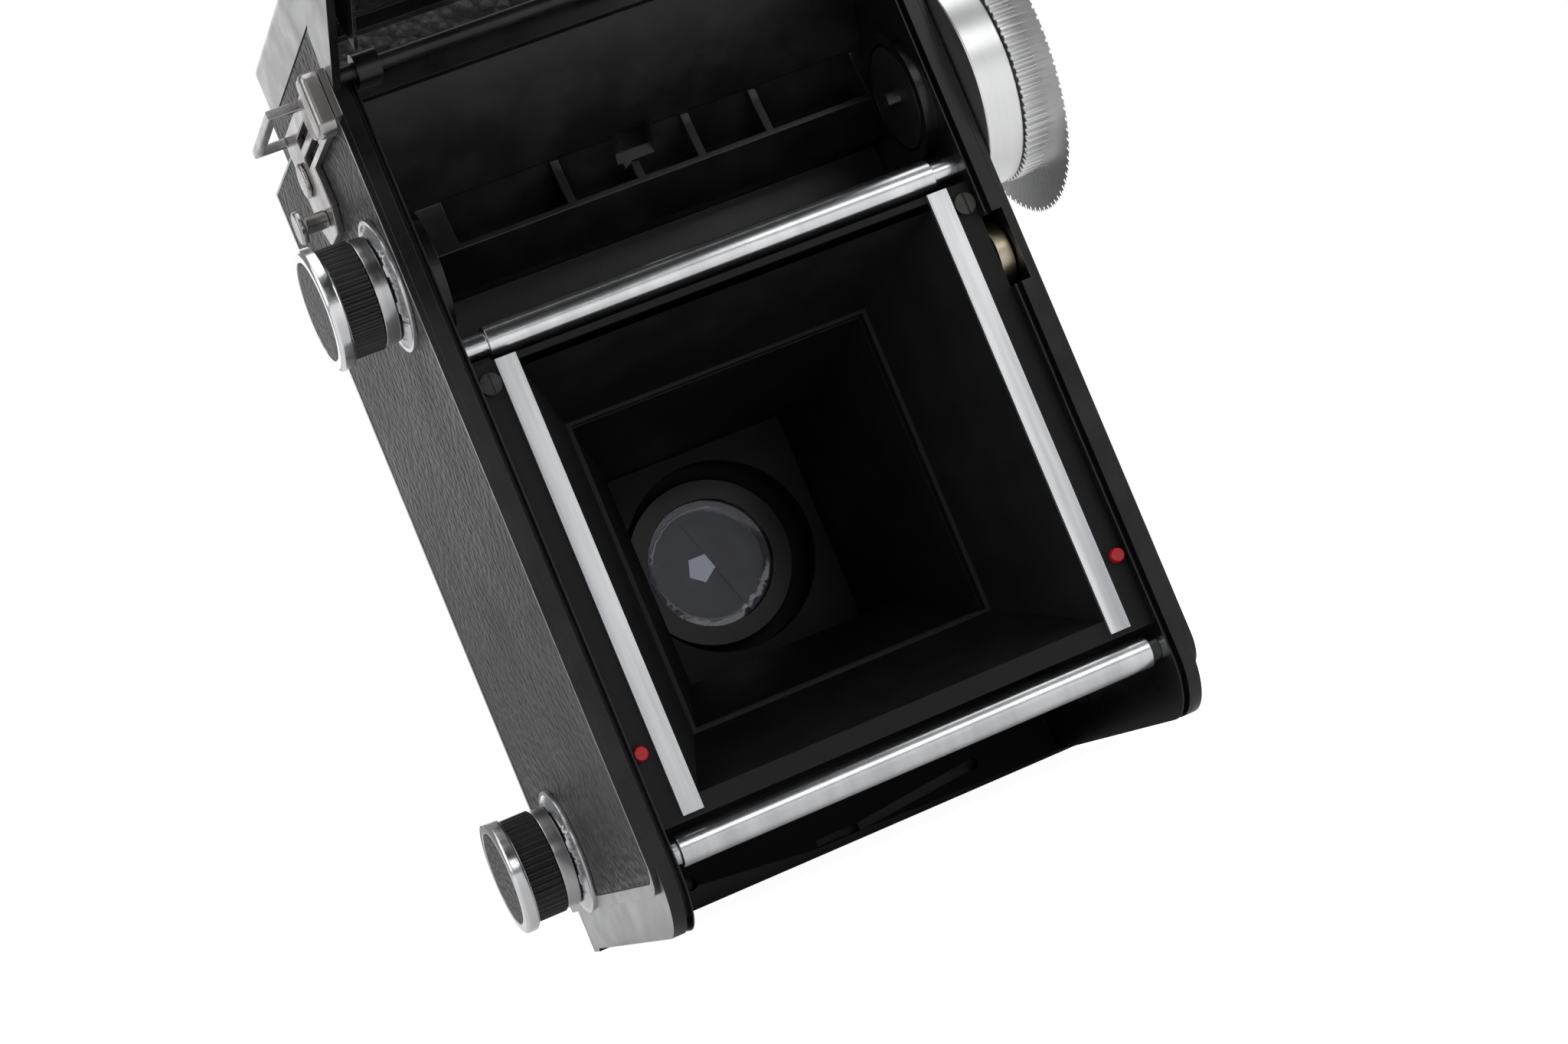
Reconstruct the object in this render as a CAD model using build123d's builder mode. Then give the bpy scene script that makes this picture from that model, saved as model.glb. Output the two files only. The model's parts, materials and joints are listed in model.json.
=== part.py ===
"""Twin lens reflex camera for 6x6 roll film, with its back open and its hood closed.

Millimetres. X is to the right as seen from behind, Y is forward along the lens axes, Z is up.
The origin is the centre of the film gate, in the plane of the film rails.
"""
from build123d import *
import os
from math import cos, sin, radians

os.makedirs("parts", exist_ok=True)

# ---------------------------------------------------------------- driving dimensions
# Body casting
body_half = 37.7          # half width over the side plates
plate_base = 0.4          # side plate under the leather
plate_rim = 0.8           # side plate at its raised rim
wall = 2.8                # side wall of the casting
back_y = -1.1             # back edges of the side walls
front_y = 60.0            # front face of the casting
front_wall = 4.1
base_z = -43.2            # lower edges of the side walls
top_z = 69.6
top_plate = 1.6
corner_r = 8.0            # lower back corner of the body
lip_drop = 0.4            # the front wall reaches this far below the side walls
groove_w = 0.8            # light trap groove in the wall edges
groove_in = 0.2           # its distance from the wall's inner face
groove_depth = 1.6
lug_in = 31.0             # inner faces of the hinge lugs
lug_r = 2.0
front_screw = (21.8, -40.1)
front_screw_r = 0.9
release_at = (26.0, -35.5)
release_r = 2.4
release_collar_r = 4.2

# Film gate
gate_half = 28.25
gate_tall = 28.0
rail_w = 2.8
rail_len = 59.8
rail_h = 0.6              # rails stand this far above the gate plate
gate_plate = 2.0
gate_low = -30.6
cone_wall = 1.0
cone_half = 15.2          # half width of the light chamber's narrow end
cone_end = 38.0           # depth at which it becomes narrow
baffle_y = 20.0
baffle_t = 0.8
shelf_end = 28.4          # front edge of the shelf under the take-up spool
shelf_t = 0.9
gate_screw = (32.6, 27.2)
gate_screw_r = 0.8
gate_screw_head_r = 1.4
screw_slot = 0.4
mark = (33.0, -21.0)      # start marks beside the gate
mark_r = 1.0

# Film transport
roller_r = 2.2
roller_y = 3.0
journal_r = 1.65
upper_roller_z = 32.4
upper_roller_half = 30.7
lower_roller_z = -33.5
lower_roller_half = 32.8
journal_seat = 1.0        # depth of the journal's blind hole in each wall
takeup = (8.7, 44.1)      # Y, Z of the take-up spool and the winding knob
supply = (front_y - 16.6, -29.2)    # Y, Z of the supply spool
seat_r = 8.7              # round seats for the spool ends
seat_bore = 7.2
seat_t = 1.5
feeler = (4.9, 20.2)
feeler_r = 4.3
feeler_w = 2.0
feeler_axle_r = 0.8
feeler_gap = 0.2          # beside the wheel, in its pocket
pocket_gap = 0.5          # round the wheel

# Spool knobs on the left side
flange_r = 8.6
flange_t = 0.6
flange_cone = 0.75
neck_r = 4.0
stem_r = 2.0
spindle_r = 1.0
tip_r = 1.9
sleeve_r = 6.9
sleeve_len = 1.9
grip_r = 7.1
grip_len = 4.2
cap_r = 7.9
cap_len = 2.0
cap_recess = 0.3
cap_edge = 0.35

# Winding knob on the right side
wind_r = 15.0
wind_base_len = 5.0
wind_groove = 0.4
wind_rim_r = 15.2
wind_rim_len = 3.4
wind_shaft_r = 3.0
wind_stand_off = 0.5
key_r = 6.9
key_flat = 0.9            # half thickness of the flats that drive a spool

# Mirror box and finder
view_z = 42.0             # height of the viewing lens above the taking lens
mirror_sum = 74.6         # the mirror face is the plane y + z = this
mirror_t = 1.2            # both measured along Y and Z, at 45 degrees
cradle_t = 1.2
mirror_half = 29.0
mirror_low = 19.5
mirror_high = 67.0
screen_z = 74.6
screen_t = 1.5
hood_half = body_half - 3.1
hood_back = 2.2
hood_front = front_y - 1.0
hood_wall = 2.0
hood_top = 78.2
lid_gap = 0.3
lid_height = 8.0
lid_t = 0.9
flap_t = 0.55
flap_gap = 0.15
side_flap_w = 49.0
rear_flap_h = 23.0
lid_pin_r = 0.4
lid_knuckle_r = 0.9
base_knuckles = ((-20.0, -10.0), (10.0, 20.0))
lid_knuckles = ((-30.0, -20.2), (-9.8, 9.8), (20.2, 30.0))
flap_pivot_r = 0.3
flap_roll_r = 0.6
flap_side = 0.2           # gap between the rear flap and its bearings
magnifier_r = 10.0
magnifier_rim_r = 12.0
magnifier_arm = 18.0      # from its pivot to the middle of the lens
magnifier_pivot_r = 0.6

# Lens board and lenses
board_half = 27.9
board_low = -26.1
board_high = 62.1
board_depth = 8.5
board_wall = 1.5
board_front = 2.5
board_gap = 0.4           # gap between the board and its bezel
bezel_wall = 1.6
bezel_depth = 5.0
ring_r = 11.85            # rear ring of the taking lens
rear_glass_r = 9.05
ring_back = 62.8
shutter_r = 23.5
shutter_len = 8.0
iris_cavity_r = 15.5
iris_cavity = 1.2
iris_inradius = 1.7       # half width of the pentagon left by the blades
blade_count = 5
blade_t = 0.12
barrel_r = 15.5
barrel_len = 6.0
barrel_seat = 2.4         # length of the speed ring's seat
collar_r = 15.0           # filter collars of both lenses
front_glass_r = 11.0
view_barrel_r = 16.5
view_barrel_len = 11.0
view_glass_r = 12.5
view_neck_r = 14.0
view_neck_len = 5.5
view_opening_r = 15.0     # its opening in the casting
socket_at = (-21.5, -23.2)
socket_r = 2.3

# Film door, given in its closed position and swung open at the end
door_depth = 7.7
door_gap = 0.15           # gap between the door's edges and the body
door_t = 1.1
leg_depth = 2.45
leg_front = front_y - 6.0
hinge_y = -3.2
hinge_z = 68.2
ear_r = 1.95
pin_r = 1.0
pin_gap = 0.05
tongue_side = 0.15        # gap on each side of a light trap tongue
plate_post_z = 18.0       # posts that guide the pressure plate
plate_post_r = 1.0
door_open_angle = 112.5
bush_y = 25.0
bush_r = 5.0
bush_flange_r = 6.5
bush_len = 5.6
tripod_hole_r = 3.175
latch_r = 10.5
latch_t = 1.3
bolt_half = 3.0
bolt_t = 0.7
bolt_gap = 0.2
bolt_travel = 3.0
foot_r = 2.8
foot_h = 1.6
press_half = 30.6
press_t = 1.0
press_gap = 0.35
press_travel = 1.0
spring_z = 12.0
spring_t = 0.4
spring_half = 14.0

# Strap brackets
bracket_t = 1.0
rivet_r = 3.0
rivet_t = 0.6
stud_r = 1.2
stud_head_r = 2.2
stud_len = 3.2
stud_head_t = 1.0
loop_back, loop_front = 13.0, 33.0
loop_wire = 1.2
loop_out = 4.4

running = 0.05            # radial clearance of a running fit
slip = 0.1                # gap between faces that pass each other

# ---------------------------------------------------------------- derived places
wall_out = body_half - plate_rim
wall_in = wall_out - wall
leather_face = body_half - 0.05
front_inner = front_y - front_wall
plate_back = rail_h
plate_front = rail_h + gate_plate
gate_high = rail_len / 2
hinge = Axis((0, hinge_y, hinge_z), (1, 0, 0))
door_edge_y = back_y - door_gap
door_back = back_y - door_depth
door_edge_z = base_z - door_gap
door_bottom = door_edge_z - leg_depth
board_back = front_y + 0.5
board_face = board_back + board_depth
lid_low = hood_top + lid_gap
lid_high = lid_low + lid_height
door_half = body_half - slip
collar_len = barrel_len - barrel_seat
lid_hinge_y = hood_front + 1.1
lid_hinge_z = lid_low + 0.1
head_y = board_face + shutter_len
flap_axis_y = hood_back + hood_wall + 1.0
flap_axis_z = hood_top + 0.9
flap_bearing = hood_half - 3.2       # inner faces of the rear flap's bearings
flap_half = flap_bearing - flap_side
bolt_z = base_z + 0.9
bolt_tip = front_inner - 1.2


# ---------------------------------------------------------------- small tools
def block(x0, x1, y0, y1, z0, z1, mode=Mode.ADD):
    """A box between two corners."""
    with Locations(((x0 + x1) / 2, (y0 + y1) / 2, (z0 + z1) / 2)):
        Box(abs(x1 - x0), abs(y1 - y0), abs(z1 - z0), mode=mode)


def drum(x0, x1, y, z, radius, mode=Mode.ADD):
    """A cylinder along X."""
    with Locations(Plane(origin=((x0 + x1) / 2, y, z), z_dir=(1, 0, 0))):
        Cylinder(radius, abs(x1 - x0), mode=mode)


def barrel(y0, y1, x, z, radius, mode=Mode.ADD):
    """A cylinder along Y."""
    with Locations(Plane(origin=(x, (y0 + y1) / 2, z), z_dir=(0, 1, 0))):
        Cylinder(radius, abs(y1 - y0), mode=mode)


def post(z0, z1, x, y, radius, mode=Mode.ADD):
    """A cylinder along Z."""
    with Locations((x, y, (z0 + z1) / 2)):
        Cylinder(radius, abs(z1 - z0), mode=mode)


def body_outline(inset=0.0, grow=0.0, mode=Mode.ADD):
    """Side view of the body, drawn in Y and Z; the inset moves its back and bottom edges in."""
    y0, z0 = back_y + inset, base_z + inset
    y1, z1 = front_y + grow, top_z + grow
    radius = corner_r - inset
    with BuildLine() as outline:
        Line((y0, z1), (y0, z0 + radius))
        RadiusArc((y0, z0 + radius), (y0 + radius, z0), -radius)
        Polyline((y0 + radius, z0), (y1, z0), (y1, z1), (y0, z1))
    make_face(outline.edges(), mode=mode)


def door_outline(back, bottom, edge_y, edge_z, front, top, mode=Mode.ADD):
    """Side view of the closed door, an L round the body's lower back corner."""
    inner = corner_r
    outer = corner_r + 1.0
    with BuildLine() as outline:
        Line((edge_y, top), (edge_y, edge_z + inner))
        RadiusArc((edge_y, edge_z + inner), (edge_y + inner, edge_z), -inner)
        Polyline((edge_y + inner, edge_z), (front, edge_z), (front, bottom), (back + outer, bottom))
        RadiusArc((back + outer, bottom), (back, bottom + outer), outer)
        Polyline((back, bottom + outer), (back, top), (edge_y, top))
    make_face(outline.edges(), mode=mode)


def save(piece, name, swung=False):
    """Label a finished piece and write it; door pieces are swung open first."""
    shape = piece.part
    if swung:
        shape = shape.rotate(hinge, -door_open_angle)
    shape.label = name
    export_step(shape, f"parts/{name}.step")


# ---------------------------------------------------------------- body casting
with BuildPart() as body_casting:
    with BuildSketch(Plane.YZ.offset(-wall_out)):
        body_outline()
    extrude(amount=2 * wall_out)
    block(-wall_out, wall_out, front_inner, front_y, base_z - lip_drop, base_z + 1)
    block(-wall_in, wall_in, back_y - 1, front_inner, base_z - 1, top_z - top_plate, Mode.SUBTRACT)
    # opening for the finder, and the lip along the hinge
    block(-mirror_half, mirror_half, 4.5, front_inner, top_z - 3, top_z + 1, Mode.SUBTRACT)
    block(-wall_in, wall_in, back_y, 1.2, 65.0, top_z - top_plate)
    # light trap grooves round the back and bottom edges of both walls
    for x0 in (-wall_in - groove_in - groove_w, wall_in + groove_in):
        with BuildSketch(Plane.YZ.offset(x0)):
            body_outline(grow=1.0)
            body_outline(inset=groove_depth, grow=1.0, mode=Mode.SUBTRACT)
            with Locations((leg_front + 8, 0)):
                Rectangle(2 * 8, 300, mode=Mode.SUBTRACT)
        extrude(amount=groove_w, mode=Mode.SUBTRACT)
    for side in (-1, 1):
        # spool seats and roller bearings
        drum(side * wall_in, side * (wall_in - seat_t), *takeup, seat_r)
        drum(side * wall_in, side * (wall_in - seat_t - 1), *takeup, seat_bore, Mode.SUBTRACT)
        for roller_z in (upper_roller_z, lower_roller_z):
            seat = side * (wall_in + journal_seat)
            drum(side * (wall_in - 1), seat, roller_y, roller_z, journal_r + running, Mode.SUBTRACT)
        # hinge lugs behind the top edge
        block(side * lug_in, side * wall_in, hinge_y, back_y + 0.5, hinge_z - lug_r, top_z)
        drum(side * lug_in, side * wall_in, hinge_y, hinge_z, lug_r)
        # screw holes in the front wall
        barrel(front_inner - 1, front_inner + 2, side * front_screw[0], front_screw[1], front_screw_r,
               Mode.SUBTRACT)
    drum(-wall_in - 1, wall_in + 1, hinge_y, hinge_z, pin_r, Mode.SUBTRACT)
    # holes for the knob necks, the winding shaft and the feeler
    for axis in (takeup, supply):
        drum(-wall_out - 1, -wall_in + 0.5, *axis, neck_r, Mode.SUBTRACT)
    drum(wall_in - 0.5, wall_out + 1, *takeup, wind_shaft_r + running, Mode.SUBTRACT)
    drum(wall_in, wall_in - seat_t, *supply, 4.0)
    drum(wall_in - seat_t, wall_in - seat_t - 1.6, *supply, tip_r)
    pocket = feeler_r + pocket_gap
    block(wall_in, wall_in + feeler_w + 2 * feeler_gap, back_y - 1, feeler[0] + pocket,
          feeler[1] - pocket, feeler[1] + pocket, Mode.SUBTRACT)
    drum(wall_out - 1, wall_out + 1, *feeler, feeler_axle_r + running, Mode.SUBTRACT)
    # lens openings, bezel round the lens board and the release collar
    barrel(front_inner - 1, front_y + 1, 0, 0, ring_r + 1.6, Mode.SUBTRACT)
    barrel(front_inner - 1, front_y + 1, 0, view_z, view_opening_r, Mode.SUBTRACT)
    bezel_in = board_half + board_gap
    bezel_out = bezel_in + bezel_wall
    block(-bezel_out, bezel_out, front_y, front_y + bezel_depth,
          board_low - board_gap - bezel_wall, board_high + board_gap + bezel_wall)
    block(-bezel_in, bezel_in, front_y, front_y + bezel_depth,
          board_low - board_gap, board_high + board_gap, Mode.SUBTRACT)
    barrel(front_y, front_y + 2.6, *release_at, release_collar_r)
    barrel(front_inner - 1, front_y + 4, *release_at, release_r + running, Mode.SUBTRACT)
    # slot that the door bolt locks into
    block(-bolt_half - bolt_gap, bolt_half + bolt_gap, front_inner - 1, bolt_tip + bolt_travel + 0.5,
          bolt_z - bolt_gap, bolt_z + bolt_t + bolt_gap, Mode.SUBTRACT)
save(body_casting, "body_casting")

# ---------------------------------------------------------------- film gate and light chamber
with BuildPart() as gate_chamber:
    block(-wall_in, wall_in, plate_back, plate_front, gate_low, gate_high)
    with BuildSketch(Plane.XZ.offset(-plate_front)):
        Rectangle(2 * (gate_half + cone_wall), 2 * (gate_tall + cone_wall))
    with BuildSketch(Plane.XZ.offset(-cone_end)):
        Rectangle(2 * (cone_half + cone_wall), 2 * (cone_half + cone_wall))
    loft()
    outer_half = cone_half + cone_wall
    block(-outer_half, outer_half, cone_end, front_inner, -outer_half, outer_half)
    with BuildSketch(Plane.XZ.offset(-plate_back)):
        Rectangle(2 * gate_half, 2 * gate_tall)
    with BuildSketch(Plane.XZ.offset(-cone_end)):
        Rectangle(2 * cone_half, 2 * cone_half)
    loft(mode=Mode.SUBTRACT)
    block(-cone_half, cone_half, cone_end, front_inner, -cone_half, cone_half, Mode.SUBTRACT)
    # baffle frame half way down the chamber
    baffle = gate_half + (cone_half - gate_half) * (baffle_y - plate_back) / (cone_end - plate_back)
    block(-baffle - 0.3, baffle + 0.3, baffle_y, baffle_y + baffle_t, -baffle - 0.3, baffle + 0.3)
    block(-baffle + 0.6, baffle - 0.6, baffle_y - 1, baffle_y + 2, -baffle + 0.6, baffle - 0.6, Mode.SUBTRACT)
    # shelf under the take-up spool
    block(-wall_in, wall_in, plate_front, shelf_end, gate_high - shelf_t, gate_high)
    block(-gate_half, gate_half, plate_back, shelf_end, gate_high - shelf_t, gate_tall, Mode.SUBTRACT)
    for side in (-1, 1):
        barrel(plate_back, plate_front, side * gate_screw[0], gate_screw[1], gate_screw_r, Mode.SUBTRACT)
save(gate_chamber, "gate_chamber")

with BuildPart() as film_rails:
    for side in (-1, 1):
        block(side * gate_half, side * (gate_half + rail_w), 0, rail_h, -rail_len / 2, rail_len / 2)
save(film_rails, "film_rails")

with BuildPart() as gate_screws:
    for side in (-1, 1):
        x, z = side * gate_screw[0], gate_screw[1]
        barrel(-0.1, plate_back, x, z, gate_screw_head_r)
        barrel(plate_back, plate_front, x, z, gate_screw_r)
        block(x - screw_slot / 2, x + screw_slot / 2, -0.2, 0.15, z - 2.2, z + 2.2, Mode.SUBTRACT)
save(gate_screws, "gate_screws")

with BuildPart() as start_marks:
    for side in (-1, 1):
        x, z = side * mark[0], mark[1]
        barrel(0.1, plate_back, x, z, mark_r)
        with Locations((x, 0.1, z)):
            Sphere(mark_r)
        block(x - 2, x + 2, plate_back, 3, z - 2, z + 2, Mode.SUBTRACT)
        block(x - 2, x + 2, -3, -0.5, z - 2, z + 2, Mode.SUBTRACT)
save(start_marks, "start_marks")


# ---------------------------------------------------------------- rollers and feeler
def roller(z, half):
    """A film roller with a journal on each end."""
    drum(-half, half, roller_y, z, roller_r)
    tip = wall_in + journal_seat - slip
    drum(-tip, tip, roller_y, z, journal_r)


with BuildPart() as upper_roller:
    roller(upper_roller_z, upper_roller_half)
save(upper_roller, "upper_roller")

with BuildPart() as lower_roller:
    roller(lower_roller_z, lower_roller_half)
save(lower_roller, "lower_roller")

with BuildPart() as feeler_wheel:
    drum(wall_in + feeler_gap, wall_in + feeler_gap + feeler_w, *feeler, feeler_r)
    drum(wall_in + feeler_gap, wall_out - 0.05, *feeler, feeler_axle_r)
save(feeler_wheel, "feeler_wheel")

# ---------------------------------------------------------------- mirror, screen and hood
with BuildPart() as viewing_mirror:
    with BuildSketch(Plane.YZ.offset(-mirror_half)):
        with BuildLine():
            Polyline((mirror_sum - mirror_low, mirror_low), (mirror_sum - mirror_high, mirror_high),
                     (mirror_sum - mirror_high - mirror_t / 2 ** 0.5, mirror_high - mirror_t / 2 ** 0.5),
                     (mirror_sum - mirror_low - mirror_t / 2 ** 0.5, mirror_low - mirror_t / 2 ** 0.5),
                     close=True)
        make_face()
    extrude(amount=2 * mirror_half)
save(viewing_mirror, "viewing_mirror")

with BuildPart() as mirror_cradle:
    face_sum = mirror_sum - mirror_t * 2 ** 0.5
    rear_sum = face_sum - cradle_t * 2 ** 0.5
    low, high = mirror_low - 1.0, mirror_high - 0.9
    with BuildSketch(Plane.YZ.offset(-wall_in)):
        with BuildLine():
            Polyline((face_sum - low, low), (face_sum - high, high), (rear_sum - high, high),
                     (rear_sum - low, low), close=True)
        make_face()
    extrude(amount=2 * wall_in)
    # ribbed bar across the back of the plate
    with BuildSketch(Plane.YZ.offset(-wall_in)):
        with BuildLine():
            Polyline((rear_sum - 53.2, 53.2), (18.0, 51.6), (17.0, 46.6), (21.6, 42.0),
                     (rear_sum - 42.0, 42.0), close=True)
        make_face()
    extrude(amount=2 * wall_in)
    ribs = (-26.4, -10.1, -0.3, 8.4, 18.1, 33.0)
    for left, right in zip(ribs, ribs[1:]):
        with BuildSketch(Plane.YZ.offset(left + 0.6)):
            with BuildLine():
                Polyline((rear_sum - 53.0, 53.6), (16.0, 52.6), (15.0, 47.6), (20.6, 47.0),
                         (rear_sum - 48.6, 48.6), close=True)
            make_face()
        extrude(amount=right - left - 1.2, mode=Mode.SUBTRACT)
    # notch in the bar's middle
    block(-1.6, 3.6, 10, 21.0, 49.6, 54.0, Mode.SUBTRACT)
    # wall between the bar and the shelf
    block(-wall_in, wall_in, shelf_end - 1.0, shelf_end, gate_high, 43.6)
save(mirror_cradle, "mirror_cradle")

with BuildPart() as hood_base:
    block(-hood_half, hood_half, hood_back, hood_front, top_z, hood_top)
    block(-hood_half + hood_wall, hood_half - hood_wall, hood_back + hood_wall, hood_front - hood_wall,
          screen_z, hood_top, Mode.SUBTRACT)
    block(-mirror_half, mirror_half, 6.0, 56.0, top_z, screen_z, Mode.SUBTRACT)
    for x0, x1 in base_knuckles:
        block(x0, x1, hood_front, lid_hinge_y, lid_hinge_z - 1.6, lid_hinge_z)
        drum(x0, x1, lid_hinge_y, lid_hinge_z, lid_knuckle_r)
    pin_half = lid_knuckles[-1][1]
    drum(-pin_half, pin_half, lid_hinge_y, lid_hinge_z, lid_pin_r)
    for side in (-1, 1):
        x0, x1 = side * flap_bearing, side * (hood_half - hood_wall)
        block(x0, x1, flap_axis_y - 1.6, flap_axis_y + 0.6, hood_top - 1.0, flap_axis_z + 0.7)
        drum(x0, x0 - side * 0.8, flap_axis_y, flap_axis_z, flap_pivot_r)
save(hood_base, "hood_base")

with BuildPart() as focusing_screen:
    edge = hood_wall + 0.05
    block(-hood_half + edge, hood_half - edge, hood_back + edge, hood_front - edge,
          screen_z, screen_z + screen_t)
save(focusing_screen, "focusing_screen")

flap_z = screen_z + screen_t + 0.3
for number, (side, name) in enumerate(((-1, "hood_flap_left"), (1, "hood_flap_right"))):
    with BuildPart() as hood_flap:
        edge = hood_half - hood_wall
        z0 = flap_z + number * (flap_t + flap_gap)
        block(side * edge, side * (edge - side_flap_w),
              hood_back + hood_wall + 2.2, hood_front - hood_wall - 0.6, z0, z0 + flap_t)
    save(hood_flap, name)

with BuildPart() as hood_flap_rear:
    block(-flap_half, flap_half, flap_axis_y, flap_axis_y + rear_flap_h, flap_axis_z - 0.3, flap_axis_z + 0.3)
    drum(-flap_half, flap_half, flap_axis_y, flap_axis_z, flap_roll_r)
    for side in (-1, 1):
        drum(side * (flap_half - 0.7), side * flap_bearing, flap_axis_y, flap_axis_z, flap_pivot_r + running,
             Mode.SUBTRACT)
save(hood_flap_rear, "hood_flap_rear")

magnifier_y = lid_hinge_y - 24.1
magnifier_z = lid_high - 3.5
with BuildPart() as hood_lid:
    block(-hood_half, hood_half, hood_back, hood_front, lid_low, lid_high)
    corners = hood_lid.edges().filter_by(Axis.Z)
    fillet(corners, 3.0)
    top_edges = hood_lid.faces().sort_by(Axis.Z)[-1].edges()
    fillet(top_edges, 1.6)
    block(-hood_half + lid_t, hood_half - lid_t, hood_back + lid_t, hood_front - lid_t,
          lid_low, lid_high - 1.0, Mode.SUBTRACT)
    for x0, x1 in lid_knuckles:
        block(x0, x1, hood_front - 0.6, lid_hinge_y, lid_hinge_z, lid_hinge_z + 1.4)
        drum(x0, x1, lid_hinge_y, lid_hinge_z, lid_knuckle_r)
    drum(-pin_half - 1, pin_half + 1, lid_hinge_y, lid_hinge_z, lid_pin_r + running, Mode.SUBTRACT)
    for x0 in (-13.4, 11.8):
        block(x0, x0 + 1.6, magnifier_y - 1.2, magnifier_y + 1.2, magnifier_z - 1.2, lid_high - 0.5)
    drum(-11.8, -10.6, magnifier_y, magnifier_z, magnifier_pivot_r)
    drum(10.6, 11.8, magnifier_y, magnifier_z, magnifier_pivot_r)
save(hood_lid, "hood_lid")

with BuildPart() as magnifier_frame:
    lens_y = magnifier_y - magnifier_arm
    post(magnifier_z - 1.2, magnifier_z + 1.2, 0, lens_y, magnifier_rim_r)
    block(-11.6, 11.6, lens_y, magnifier_y + 1.0, magnifier_z - 1.0, magnifier_z + 1.0)
    block(-8.0, 8.0, lens_y + magnifier_rim_r, magnifier_y + 2, magnifier_z - 2, magnifier_z + 2,
          Mode.SUBTRACT)
    post(magnifier_z - 2, magnifier_z + 2, 0, lens_y, magnifier_r, Mode.SUBTRACT)
    drum(-12, 12, magnifier_y, magnifier_z, magnifier_pivot_r + running, Mode.SUBTRACT)
save(magnifier_frame, "magnifier_frame")

with BuildPart() as magnifier_lens:
    post(magnifier_z - 0.9, magnifier_z + 0.9, 0, lens_y, magnifier_r)
    chamfer(magnifier_lens.edges().filter_by(GeomType.CIRCLE), 0.4)
save(magnifier_lens, "magnifier_lens")

# ---------------------------------------------------------------- side plates and leather
plate_low = -37.5
plate_corner = 4.0


def side_outline(back, bottom, front, top, radius):
    """Side plate outline, rounded at its lower back corner."""
    with BuildLine() as outline:
        Line((back, top), (back, bottom + radius))
        RadiusArc((back, bottom + radius), (back + radius, bottom), -radius)
        Polyline((back + radius, bottom), (front, bottom), (front, top), (back, top))
    make_face(outline.edges())


for side, name in ((-1, "left"), (1, "right")):
    holes = (takeup, supply) if side < 0 else (takeup,)
    hole_r = neck_r if side < 0 else wind_shaft_r + running
    with BuildPart() as side_plate:
        with BuildSketch(Plane.YZ.offset(side * wall_out)):
            side_outline(back_y, plate_low, front_y, top_z - 0.2, plate_corner)
        extrude(amount=side * plate_rim)
        with BuildSketch(Plane.YZ.offset(side * (wall_out + plate_base))):
            side_outline(back_y + 0.6, plate_low + 1.6, front_y - 1.0, top_z - 0.6, plate_corner - 1.0)
        extrude(amount=side * plate_rim, mode=Mode.SUBTRACT)
        for axis in holes:
            drum(side * (wall_out - 1), side * (body_half + 1), *axis, hole_r, Mode.SUBTRACT)
        if side > 0:
            drum(wall_out - 1, wall_out + 0.1, *feeler, feeler_axle_r + running, Mode.SUBTRACT)
    save(side_plate, f"side_plate_{name}")
    with BuildPart() as side_leather:
        with BuildSketch(Plane.YZ.offset(side * (wall_out + plate_base))):
            side_outline(back_y + 0.65, plate_low + 1.65, front_y - 1.05, top_z - 0.65, plate_corner - 1.05)
        extrude(amount=side * (leather_face - wall_out - plate_base))
        for axis in holes:
            drum(side * (wall_out - 1), side * (body_half + 1), *axis, hole_r, Mode.SUBTRACT)
    save(side_leather, f"side_leather_{name}")

# ---------------------------------------------------------------- spool knobs
for name, axis in (("upper", takeup), ("lower", supply)):
    face = -body_half
    sleeve_in = face - flange_t - flange_cone - slip
    grip_in = sleeve_in - sleeve_len - slip
    cap_in = grip_in - grip_len
    with BuildPart() as knob_flange:
        drum(face, face - flange_t, *axis, flange_r)
        with Locations(Plane(origin=(face - flange_t - flange_cone / 2, *axis), z_dir=(-1, 0, 0))):
            Cone(flange_r - 0.5, sleeve_r, flange_cone)
        drum(face, -wall_in, *axis, neck_r)
        drum(face - 3, -wall_in + 1, *axis, stem_r + running, Mode.SUBTRACT)
    save(knob_flange, f"{name}_knob_flange")
    with BuildPart() as knob_sleeve:
        drum(sleeve_in, sleeve_in - sleeve_len, *axis, sleeve_r)
        drum(sleeve_in, -wall_in - 0.3, *axis, stem_r)
        drum(sleeve_in - 5, -wall_in + 1, *axis, spindle_r + running, Mode.SUBTRACT)
    save(knob_sleeve, f"{name}_knob_sleeve")
    with BuildPart() as knob_grip:
        drum(grip_in, cap_in, *axis, grip_r)
        drum(grip_in + 1, cap_in - 1, *axis, spindle_r, Mode.SUBTRACT)
    save(knob_grip, f"{name}_knob_grip")
    with BuildPart() as knob_cap:
        drum(cap_in, cap_in - cap_len, *axis, cap_r)
        chamfer(knob_cap.edges(), cap_edge)
        drum(cap_in - cap_len, cap_in - cap_len + cap_recess, *axis, cap_r - 1.5, Mode.SUBTRACT)
        drum(cap_in, -wall_in, *axis, spindle_r)
        drum(-wall_in - 0.2, -wall_in + 2.8, *axis, tip_r)
        for flat in (-1, 1):
            block(-wall_in + 0.4, -wall_in + 3, axis[0] - 3, axis[0] + 3,
                  axis[1] + flat * key_flat, axis[1] + flat * 3, Mode.SUBTRACT)
    save(knob_cap, f"{name}_knob_cap")

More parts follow.
